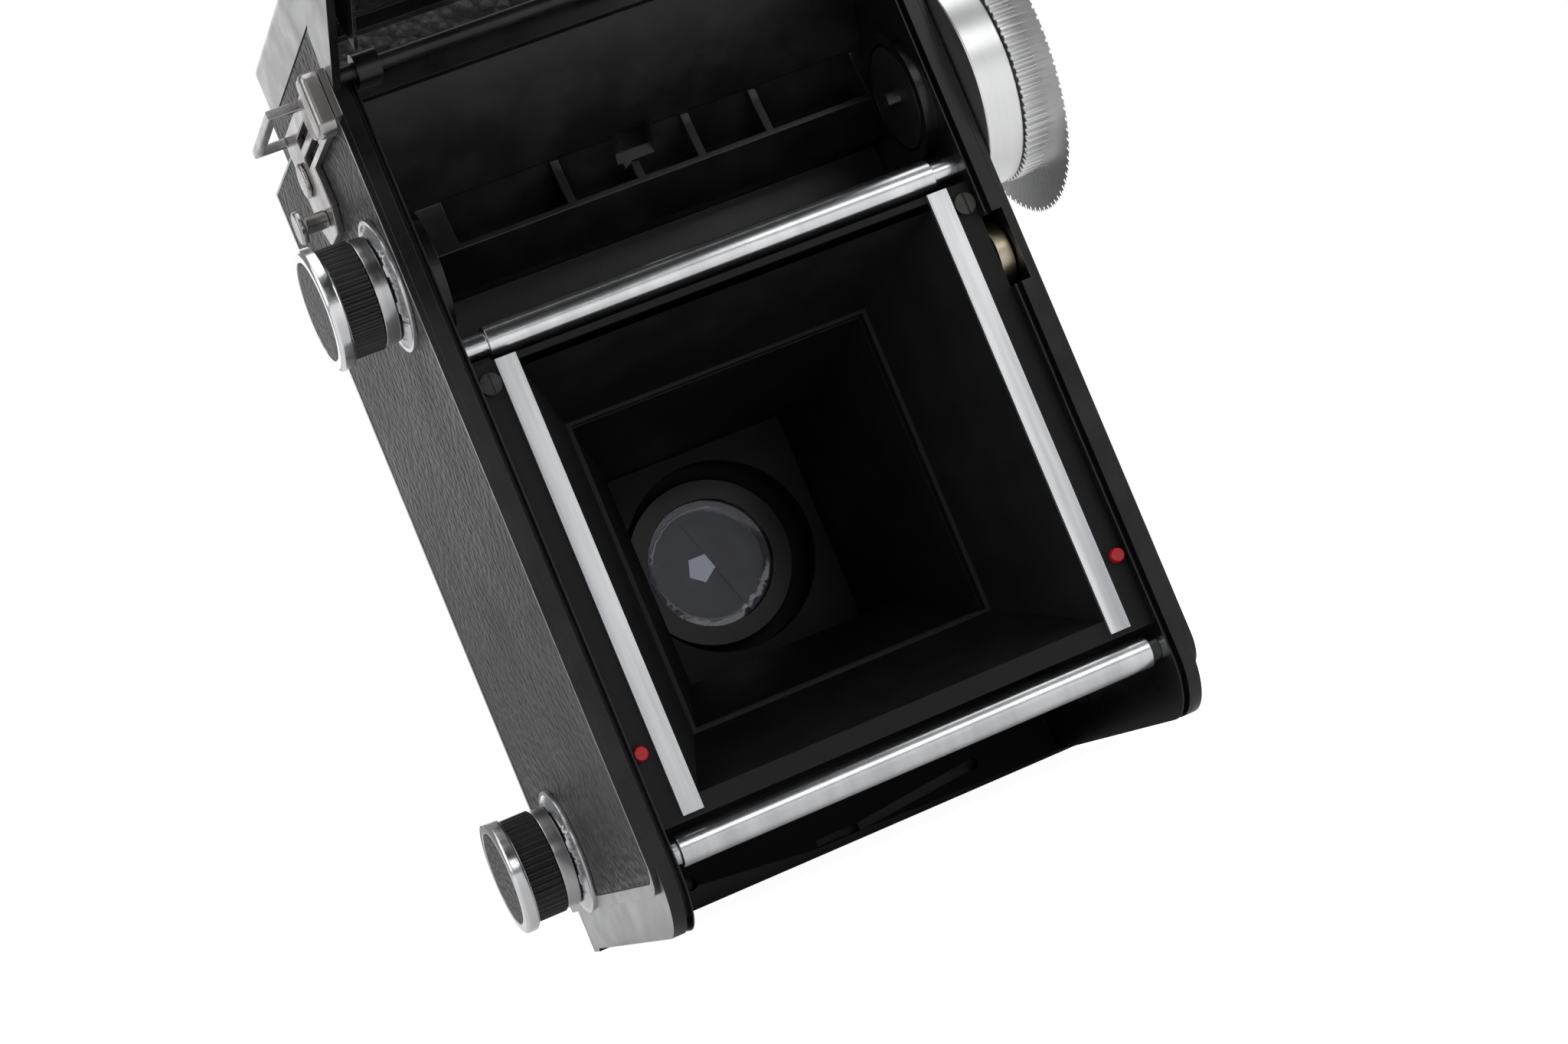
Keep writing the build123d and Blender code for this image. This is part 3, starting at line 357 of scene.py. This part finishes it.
matte_black = painted("matte_black", (0.0022, 0.0022, 0.0022), (0.007, 0.007, 0.007), 0.6, 0.12, 0.5,
                      shine=0.3)
SIDE_X = 36.5
FRONT_Y = 60.3
casting = broken_edges("body_casting", black_enamel, 0.22, 3)
second_finish(casting, satin_alloy, lambda c, n: abs(c.x) > SIDE_X and abs(n.x) > 0.8)
second_finish(casting, satin_alloy, lambda c, n: c.y > FRONT_Y and c.z > -30)
second_finish(casting, matte_black, lambda c, n: abs(c.x) < 33 and 50 < c.y < FRONT_Y - 0.1 and c.z > -38)

# ---------------------------------------------------------------- film gate and light chamber
# The chamber behind the taking lens is a thin casting in flat black, so that no light is thrown about.
broken_edges("gate_chamber", matte_black, 0.12)

# ---------------------------------------------------------------- film rails
# Two ground steel strips that the film slides on, scratched lengthways by years of film.
lengthways, long_in, long_out = node_group(
    "drawn_scratches",
    [("Vector", VECTOR, None), ("Stretch", VECTOR, (1, 1, 1)), ("Scale", FLOAT, 2000.0)],
    [("Lines", FLOAT), ("Broad", FLOAT)])
stretch = lengthways.nodes.new("ShaderNodeVectorMath")
stretch.operation = "MULTIPLY"
lengthways.links.new(long_in.outputs["Vector"], stretch.inputs[0])
lengthways.links.new(long_in.outputs["Stretch"], stretch.inputs[1])
fine_lines = noise_node(lengthways, stretch.outputs[0], long_in.outputs["Scale"], 3.0, 0.6)
broad_lines = noise_node(lengthways, stretch.outputs[0],
                         math_node(lengthways, "MULTIPLY", long_in.outputs["Scale"], 0.22), 3.0, 0.5)
lengthways.links.new(fine_lines, long_out.inputs["Lines"])
lengthways.links.new(broad_lines, long_out.inputs["Broad"])


def drawn_metal(name, dark, light, rough, stretch_by, scale, depth=0.000004, spread=0.2):
    """Metal with drawn or turned lines: stretch_by is small along the lines."""
    material, tree, shader, spot = new_material(name)
    lines = place_group(tree, lengthways, Vector=spot, Stretch=stretch_by, Scale=scale)
    mix = tree.nodes.new("ShaderNodeMix")
    mix.data_type = "RGBA"
    mix.inputs["A"].default_value = (*dark, 1)
    mix.inputs["B"].default_value = (*light, 1)
    tree.links.new(ramp_between(tree, lines.outputs["Broad"], 0.35, 0.65), mix.inputs["Factor"])
    tree.links.new(mix.outputs["Result"], shader.inputs["Base Color"])
    swing = math_node(tree, "MULTIPLY", lines.outputs["Lines"], spread)
    tree.links.new(math_node(tree, "ADD", swing, rough - spread / 2, True), shader.inputs["Roughness"])
    add_bump(tree, shader, lines.outputs["Lines"], depth)
    shader.inputs["Metallic"].default_value = 1.0
    return material


rail_steel = drawn_metal("rail_steel", (0.5, 0.51, 0.53), (0.86, 0.87, 0.88), 0.42, (1, 1, 0.05), 1800.0,
                         0.000012)
broken_edges("film_rails", rail_steel, 0.07)

# ---------------------------------------------------------------- gate screws and start marks
# Slotted screws hold the gate; two drops of red enamel show where the film's start arrow goes.
screw_black = painted("screw_black", (0.012, 0.012, 0.012), (0.16, 0.16, 0.15), 0.35, 0.1, 0.4, metal=0.6)
broken_edges("gate_screws", screw_black, 0.12)
red_enamel = painted("red_enamel", (0.42, 0.006, 0.016), (0.5, 0.03, 0.04), 0.14, 0.04, 0.15, coat=0.6)
broken_edges("start_marks", red_enamel, 0)

# ---------------------------------------------------------------- film rollers
# Plain turned and polished steel rollers; their journals run in blind holes of the walls.
roller_steel = drawn_metal("roller_steel", (0.72, 0.73, 0.75), (0.86, 0.87, 0.88), 0.24, (1, 0.05, 0.05),
                           1500.0, 0.0000015, 0.08)
for name in ("upper_roller", "lower_roller"):
    broken_edges(name, roller_steel, 0.2)

# ---------------------------------------------------------------- film feeler
# A small brass wheel in a pocket of the right wall; the film turns it, and its edge is worn bright.
worn_brass = painted("worn_brass", (0.5, 0.42, 0.27), (0.66, 0.62, 0.52), 0.34, 0.1, 0.7, metal=1.0)
broken_edges("feeler_wheel", worn_brass, 0.15)

# ---------------------------------------------------------------- mirror, its cradle and the screen
# A cast cradle in satin black, ribbed on its back, holds the finder's mirror under a ground glass.
satin_black = painted("satin_black", (0.006, 0.006, 0.0065), (0.028, 0.028, 0.03), 0.36, 0.12, 0.5)
broken_edges("mirror_cradle", satin_black, 0.18)
silvering = painted("silvering", (0.85, 0.86, 0.87), (0.75, 0.76, 0.77), 0.03, 0.02, 0.2, metal=1.0)
broken_edges("viewing_mirror", silvering, 0.1)
ground = painted("ground_glass", (0.7, 0.72, 0.73), (0.6, 0.62, 0.63), 0.55, 0.05, 0.3)
broken_edges("focusing_screen", ground, 0.1)

# ---------------------------------------------------------------- leather
# Thin black leatherette with a pressed grain of small pebbles about a millimetre across, glued on.
grain, grain_in, grain_out = node_group(
    "pressed_grain",
    [("Vector", VECTOR, None), ("Scale", FLOAT, 900.0)], [("Height", FLOAT), ("Crown", FLOAT)])
wander = grain.nodes.new("ShaderNodeTexNoise")
wander.inputs["Scale"].default_value = 900.0
wander.inputs["Detail"].default_value = 2.0
grain.links.new(grain_in.outputs["Vector"], wander.inputs["Vector"])
pull = grain.nodes.new("ShaderNodeVectorMath")
pull.operation = "MULTIPLY_ADD"
pull.inputs[1].default_value = (0.0005, 0.0005, 0.0005)
grain.links.new(wander.outputs["Color"], pull.inputs[0])
grain.links.new(grain_in.outputs["Vector"], pull.inputs[2])
pebbles = grain.nodes.new("ShaderNodeTexVoronoi")
pebbles.feature = "SMOOTH_F1"
pebbles.inputs["Smoothness"].default_value = 0.35
grain.links.new(pull.outputs[0], pebbles.inputs["Vector"])
grain.links.new(grain_in.outputs["Scale"], pebbles.inputs["Scale"])
crown = ramp_between(grain, pebbles.outputs["Distance"], 0.75, 0.1)
creases = noise_node(grain, pull.outputs[0], 3600.0, 3.0, 0.6)
grain.links.new(math_node(grain, "ADD", crown, math_node(grain, "MULTIPLY", creases, 0.35)),
                grain_out.inputs["Height"])
grain.links.new(crown, grain_out.inputs["Crown"])


def leather(name, scale, depth, base=(0.012, 0.012, 0.0125), crown_tone=(0.045, 0.045, 0.047), rough=0.42):
    """Pebbled leatherette."""
    material, tree, shader, spot = new_material(name)
    pressed = place_group(tree, grain, Vector=spot, Scale=scale)
    mix = tree.nodes.new("ShaderNodeMix")
    mix.data_type = "RGBA"
    mix.inputs["A"].default_value = (*base, 1)
    mix.inputs["B"].default_value = (*crown_tone, 1)
    tree.links.new(pressed.outputs["Crown"], mix.inputs["Factor"])
    tree.links.new(mix.outputs["Result"], shader.inputs["Base Color"])
    patches = noise_node(tree, spot, 60.0, 3.0)
    swing = math_node(tree, "MULTIPLY", patches, 0.2)
    tree.links.new(math_node(tree, "ADD", swing, rough - 0.1, True), shader.inputs["Roughness"])
    add_bump(tree, shader, pressed.outputs["Height"], depth)
    return material


pebbled_leather = leather("pebbled_leather", 820.0, 0.0003, (0.006, 0.006, 0.0065))
for side in ("left", "right"):
    broken_edges(f"side_leather_{side}", pebbled_leather, 0.05)
    plate = broken_edges(f"side_plate_{side}", satin_alloy, 0.08)
    second_finish(plate, black_enamel, lambda c, n: n.y < -0.3)
broken_edges("door_leather", pebbled_leather, 0.08)

# ---------------------------------------------------------------- hood
# Folded sheet metal: leathered sides at the base, a satin lid with a leather panel, black flaps inside.
broken_edges("hood_base", pebbled_leather, 0.3, 3)
broken_edges("hood_lid", satin_alloy, 0.1)
for name in ("hood_flap_left", "hood_flap_right", "hood_flap_rear"):
    broken_edges(name, satin_black, 0.08)
broken_edges("magnifier_frame", satin_black, 0.15)

# the lid carries a panel of the same leather inside a bare satin border
LID_BORDER = 2.6
LEATHER_THICK = 0.35
lid_low, lid_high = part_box("hood_lid")


def flat_panel(name, low, high, height, corner, thick, normal="z"):
    """A sheet with round corners between two corners of a rectangle; its normal is Z or Y."""
    middle = ((low[0] + high[0]) / 2, (low[1] + high[1]) / 2)
    calm()
    bpy.ops.mesh.primitive_plane_add(size=1.0, location=(0, 0, 0))
    piece = bpy.context.object
    piece.name = name
    piece.scale = (high[0] - low[0], high[1] - low[1], 1)
    bpy.ops.object.transform_apply(location=False, rotation=False, scale=True)
    bpy.ops.object.mode_set(mode="EDIT")
    bpy.ops.mesh.select_all(action="SELECT")
    bpy.ops.mesh.bevel(offset=corner, segments=8, affect="VERTICES")
    bpy.ops.mesh.select_all(action="SELECT")
    bpy.ops.mesh.extrude_region_move(TRANSFORM_OT_translate={"value": (0, 0, thick)})
    bpy.ops.mesh.inset(thickness=0.3 * MM, depth=0)
    bpy.ops.mesh.select_all(action="SELECT")
    bpy.ops.mesh.normals_make_consistent(inside=False)
    bpy.ops.object.mode_set(mode="OBJECT")
    if normal == "z":
        piece.location = (*middle, height)
    else:
        piece.rotation_euler = (math.radians(-90), 0, 0)
        piece.location = (middle[0], height, middle[1])
    return piece


border = Vector((1, 1, 0)) * LID_BORDER * MM
lid_panel = flat_panel("hood_lid_leather", lid_low + border, lid_high - border, lid_high.z - 0.05 * MM,
                       2.0 * MM, LEATHER_THICK * MM)
lid_panel.data.materials.append(pebbled_leather)
settle(lid_panel, "lid")

# ---------------------------------------------------------------- magnifier and lens glass
# Ground and polished glass, bloomed on its outer faces, with a little dust on it.


def glass(name, tint, index, rough):
    """Clear optical glass with dust and cleaning marks."""
    material, tree, shader, spot = new_material(name)
    marks = place_group(tree, use_marks, Vector=spot, Base=(*tint, 1), Worn=(0.8, 0.8, 0.8, 1), Rough=rough,
                        Spread=0.02, Amount=0.06)
    tree.links.new(marks.outputs["Color"], shader.inputs["Base Color"])
    tree.links.new(marks.outputs["Roughness"], shader.inputs["Roughness"])
    shader.inputs["Transmission Weight"].default_value = 1.0
    shader.inputs["IOR"].default_value = index
    shader.inputs["Coat Weight"].default_value = 0.25
    shader.inputs["Coat Tint"].default_value = (0.9, 0.88, 1.0, 1)
    shader.inputs["Coat Roughness"].default_value = 0.02
    return material


lens_glass = glass("lens_glass", (0.93, 0.95, 0.98), 1.6, 0.03)
broken_edges("magnifier_lens", lens_glass, 0.1)
for name in ("rear_lens", "taking_lens", "viewing_lens"):
    broken_edges(name, lens_glass, 0.08)

# ---------------------------------------------------------------- lens board
# A cast board on the focusing slide: satin sides, leather on its front, a bright trim round its edge.
board = broken_edges("lens_board", satin_alloy, 0.2, 3)
board_low, board_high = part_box("lens_board")
board_face = board_high.y / MM
second_finish(board, pebbled_leather, lambda c, n: n.y > 0.9 and c.y > board_face - 0.1)
second_finish(board, matte_black, lambda c, n: c.y < board_face - 1 and abs(c.x) < 26 and -24 < c.z < 60)

chrome = painted("bright_chrome", (0.78, 0.78, 0.79), (0.6, 0.6, 0.6), 0.17, 0.06, 0.3, metal=1.0)
satin_chrome = painted("satin_chrome", (0.56, 0.56, 0.57), (0.42, 0.41, 0.41), 0.27, 0.12, 0.4, metal=1.0)
TRIM_WIDE = 1.3
TRIM_THICK = 0.45
trim = flat_panel("board_trim", (board_low.x, board_low.z), (board_high.x, board_high.z),
                  (board_face - 0.05) * MM, 3.0 * MM, TRIM_THICK * MM, normal="y")
take(trim)
bpy.ops.object.mode_set(mode="EDIT")
bpy.ops.mesh.select_all(action="DESELECT")
bpy.ops.object.mode_set(mode="OBJECT")
for face in trim.data.polygons:
    face.select = abs(face.normal.z) > 0.9 and face.area > 0.0005
bpy.ops.object.mode_set(mode="EDIT")
bpy.ops.mesh.inset(thickness=TRIM_WIDE * MM, depth=0)
bpy.ops.mesh.bridge_edge_loops()
bpy.ops.mesh.select_all(action="SELECT")
bpy.ops.mesh.normals_make_consistent(inside=False)
bpy.ops.object.mode_set(mode="OBJECT")
trim.data.materials.append(chrome)
settle(trim, "board", 30)

# ---------------------------------------------------------------- shutter, iris and lens barrels
# The shutter's face and levers are turned and chromed; the barrels are turned with fine rings.
turned_chrome = drawn_metal("turned_chrome", (0.58, 0.58, 0.59), (0.72, 0.72, 0.73), 0.2, (0.04, 1, 0.04),
                            1700.0, 0.000002, 0.1)
blade_steel = painted("blade_steel", (0.05, 0.05, 0.052), (0.1, 0.1, 0.1), 0.4, 0.12, 0.4, metal=0.8)
housing = broken_edges("shutter_housing", black_enamel, 0.2, 3)
second_finish(housing, turned_chrome, lambda c, n: abs(n.y) < 0.5 and c.x ** 2 + c.z ** 2 > 18 ** 2)
broken_edges("iris_blades", blade_steel, 0)
broken_edges("rear_lens_ring", black_enamel, 0.15)
FINDER_Z = 42.0
for name in ("taking_barrel", "viewing_barrel"):
    made = broken_edges(name, turned_chrome, 0.15)
    centre_z = 0 if name == "taking_barrel" else FINDER_Z
    second_finish(made, black_enamel, lambda c, n, z=centre_z: c.x * n.x + (c.z - z) * n.z < -0.1)
for name in ("speed_ring", "aperture_lever", "cocking_lever", "focus_lever"):
    broken_edges(name, satin_chrome, 0.12)
broken_edges("sync_socket", chrome, 0.1)
broken_edges("release_button", chrome, 0.1)

# ---------------------------------------------------------------- spool knobs
# Each has a conical flange, a bright sleeve, a fluted black grip and a chromed cap with a leather disc.
GRIP_FLUTES = 46
FLUTE_DEPTH = 0.32
DISC_R = 6.3
DISC_THICK = 0.3
turned_sleeve = drawn_metal("turned_sleeve", (0.5, 0.5, 0.51), (0.74, 0.74, 0.75), 0.22, (1, 0.03, 0.03),
                            2200.0, 0.000003, 0.12)
grip_black = painted("grip_black", (0.008, 0.008, 0.008), (0.03, 0.03, 0.03), 0.42, 0.12, 0.5)
knob_leather = leather("knob_leather", 1300.0, 0.0002, rough=0.4)


def toothed_bar(name, low, high, teeth, depth):
    """A round bar along X that fills a box, with flat-topped teeth cut round it."""
    middle = (low + high) / 2
    radius = (high.z - low.z) / 2
    calm()
    bpy.ops.mesh.primitive_cylinder_add(vertices=4 * teeth, radius=radius, depth=high.x - low.x,
                                        location=middle, rotation=(0, math.radians(90), 0))
    piece = bpy.context.object
    piece.name = name
    bpy.ops.object.mode_set(mode="EDIT")
    bpy.ops.mesh.select_mode(type="VERT")
    bpy.ops.mesh.select_all(action="DESELECT")
    bpy.ops.object.mode_set(mode="OBJECT")
    for vertex in piece.data.vertices:
        vertex.select = (vertex.index // 2) % 4 in (2, 3)
    bpy.ops.object.mode_set(mode="EDIT")
    share = 1 - depth * MM / radius
    bpy.ops.transform.resize(value=(1, share, share), center_override=middle)
    bpy.ops.object.mode_set(mode="OBJECT")
    return piece


for name, knob_body in (("upper", "knob_up"), ("lower", "knob_low")):
    broken_edges(f"{name}_knob_flange", turned_sleeve, 0.12)
    broken_edges(f"{name}_knob_sleeve", turned_sleeve, 0.15)
    grip_low, grip_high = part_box(f"{name}_knob_grip")
    grip = toothed_bar(f"{name}_fluted_grip", grip_low, grip_high, GRIP_FLUTES, FLUTE_DEPTH)
    soften(grip, 0.07, 1, 25)
    grip.data.materials.append(grip_black)
    settle(grip, knob_body, 25)
    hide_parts(f"{name}_knob_grip")
    broken_edges(f"{name}_knob_cap", chrome, 0.12, 2)
    cap_low, cap_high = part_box(f"{name}_knob_cap")
    centre = (cap_low + cap_high) / 2
    calm()
    bpy.ops.mesh.primitive_cylinder_add(vertices=96, radius=DISC_R * MM, depth=DISC_THICK * MM,
                                        location=(cap_low.x + 0.16 * MM, centre.y, centre.z),
                                        rotation=(0, math.radians(-90), 0))
    disc = bpy.context.object
    disc.name = f"{name}_knob_disc"
    soften(disc, 0.1, 2)
    disc.data.materials.append(knob_leather)
    settle(disc, knob_body)

# ---------------------------------------------------------------- winding knob
# A turned drum with a castellated rim beyond a groove, whose shade is painted in as a satin black ring; its
# outer end is turned in two steps.
RIM_TEETH = 84
TOOTH_DEPTH = 0.6
RIM_WIDE = 3.4
DRUM_R = 15.0
SHAFT_R = 3.0
RIM_BORDER = 2.8
RIM_STEP = 5.5
wind_low, wind_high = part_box("wind_knob")
wind_mid = (wind_low + wind_high) / 2
rim_low = wind_low.copy()
rim_low.x = wind_high.x - RIM_WIDE * MM
drum_metal = drawn_metal("drum_metal", (0.8, 0.8, 0.8), (0.92, 0.92, 0.92), 0.34, (1, 0.02, 0.02), 1400.0,
                         0.000003, 0.1)
rim = toothed_bar("wind_knob_rim", rim_low, wind_high, RIM_TEETH, TOOTH_DEPTH)
take(rim)
bpy.ops.object.mode_set(mode="EDIT")
bpy.ops.mesh.select_mode(type="FACE")
bpy.ops.mesh.select_all(action="DESELECT")
bpy.ops.object.mode_set(mode="OBJECT")
outward = rim.matrix_world.to_3x3()
for face in rim.data.polygons:
    face.select = (outward @ face.normal).x > 0.9
bpy.ops.object.mode_set(mode="EDIT")
bpy.ops.mesh.inset(thickness=RIM_BORDER * MM, depth=-0.8 * MM)
bpy.ops.mesh.inset(thickness=RIM_STEP * MM, depth=0.5 * MM)
bpy.ops.object.mode_set(mode="OBJECT")
soften(rim, 0.09, 1, 35)
rim.data.materials.append(drum_metal)
settle(rim, "winder", 25)
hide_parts("wind_knob")


def round_bar(name, x0, x1, y, z, radius, material, body, edge=0.2, vertices=160):
    """A turned bar along X with broken edges."""
    calm()
    bpy.ops.mesh.primitive_cylinder_add(vertices=vertices, radius=radius * MM, depth=(x1 - x0) * MM,
                                        location=((x0 + x1) / 2 * MM, y, z),
                                        rotation=(0, math.radians(90), 0))
    piece = bpy.context.object
    piece.name = name
    soften(piece, edge, 3)
    piece.data.materials.append(material)
    return settle(piece, body)


rim_x = rim_low.x / MM
drum_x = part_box("side_leather_right")[1].x / MM + 0.5
drum_body = round_bar("wind_knob_drum", drum_x, rim_x - 0.4, wind_mid.y, wind_mid.z, DRUM_R, drum_metal,
                      "winder", 0.25)
# the groove is a real recess; its dark is painted shade, a satin black ring between drum and rim
groove_shade = round_bar("wind_knob_groove_shade", rim_x - 0.5, rim_x + 0.1, wind_mid.y, wind_mid.z, DRUM_R - 0.8,
                   satin_black, "winder", 0.05)
shaft = round_bar("wind_knob_shaft", wind_low.x / MM, drum_x + 0.1, wind_mid.y, wind_mid.z, SHAFT_R,
                  satin_chrome, "winder", 0.1, 48)
for made in (drum_body, groove_shade, shaft):
    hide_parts("wind_knob")
broken_edges("takeup_key", blade_steel, 0.15)

# ---------------------------------------------------------------- strap brackets and hinge catch
# Stamped nickel plates with domed rivets and a stud; the catch frees the hinge pin.
nickel = painted("worn_nickel", (0.47, 0.455, 0.45), (0.3, 0.28, 0.27), 0.26, 0.14, 0.55, metal=1.0)
# darker nickel for the brackets' edge faces near the body: painted shade on those edges
shaded_nickel_edge = painted("shaded_nickel_edge", (0.2, 0.19, 0.185), (0.12, 0.11, 0.11), 0.4, 0.1, 0.5, metal=0.9)
for side in ("left", "right"):
    bracket = broken_edges(f"strap_bracket_{side}", nickel, 0.15)
    # edge faces that do not face sideways, inward of the bracket's outer face, take the painted shade
    second_finish(bracket, shaded_nickel_edge, lambda c, n: abs(n.x) < 0.4 and abs(c.x) < 38.8)
broken_edges("bracket_fasteners", nickel, 0.3, 4)
broken_edges("hinge_catch", nickel, 0.1)
hinge_black = painted("hinge_black", (0.01, 0.01, 0.01), (0.05, 0.05, 0.05), 0.35, 0.1, 0.4, metal=0.3)
broken_edges("hinge_pin", hinge_black, 0.1)

# ---------------------------------------------------------------- film door
# A drawn shell hinged at its top: satin edges, crinkle paint inside, leather on its back.
crinkle, crinkle_tree, crinkle_shader, crinkle_spot = new_material("crinkle_paint")
crinkle_marks = place_group(crinkle_tree, use_marks, Vector=crinkle_spot, Base=(0.006, 0.006, 0.0065, 1),
                            Worn=(0.03, 0.03, 0.032, 1), Rough=0.36, Spread=0.12, Amount=0.5)
crinkle_tree.links.new(crinkle_marks.outputs["Color"], crinkle_shader.inputs["Base Color"])
crinkle_tree.links.new(crinkle_marks.outputs["Roughness"], crinkle_shader.inputs["Roughness"])
crinkle_folds = noise_node(crinkle_tree, crinkle_spot, 420.0, 3.0, 0.55)
add_bump(crinkle_tree, crinkle_shader, crinkle_folds, 0.0006)
DOOR_SIDE_X = 36.8
open_angle = math.radians(-112.5)
door_inward = Vector((0, math.cos(open_angle), math.sin(open_angle)))
door = broken_edges("film_door", black_enamel, 0.2, 3)
second_finish(door, satin_alloy, lambda c, n: abs(c.x) > DOOR_SIDE_X and abs(n.x) > 0.5)
second_finish(door, crinkle, lambda c, n: n.dot(door_inward) > 0.95 and abs(c.x) < 36)
base_door = broken_edges("door_base", black_enamel, 0.2, 3)
second_finish(base_door, satin_alloy, lambda c, n: abs(c.x) > DOOR_SIDE_X and abs(n.x) > 0.5)
broken_edges("pressure_plate", satin_black, 0.15)
spring_steel = painted("spring_steel", (0.4, 0.39, 0.37), (0.25, 0.24, 0.23), 0.25, 0.12, 0.4, metal=1.0)
broken_edges("plate_springs", spring_steel, 0.08)
broken_edges("tripod_bush", satin_chrome, 0.15)
broken_edges("latch_ring", satin_chrome, 0.15)
broken_edges("latch_bolt", spring_steel, 0.08)

# ---------------------------------------------------------------- finish
calm()
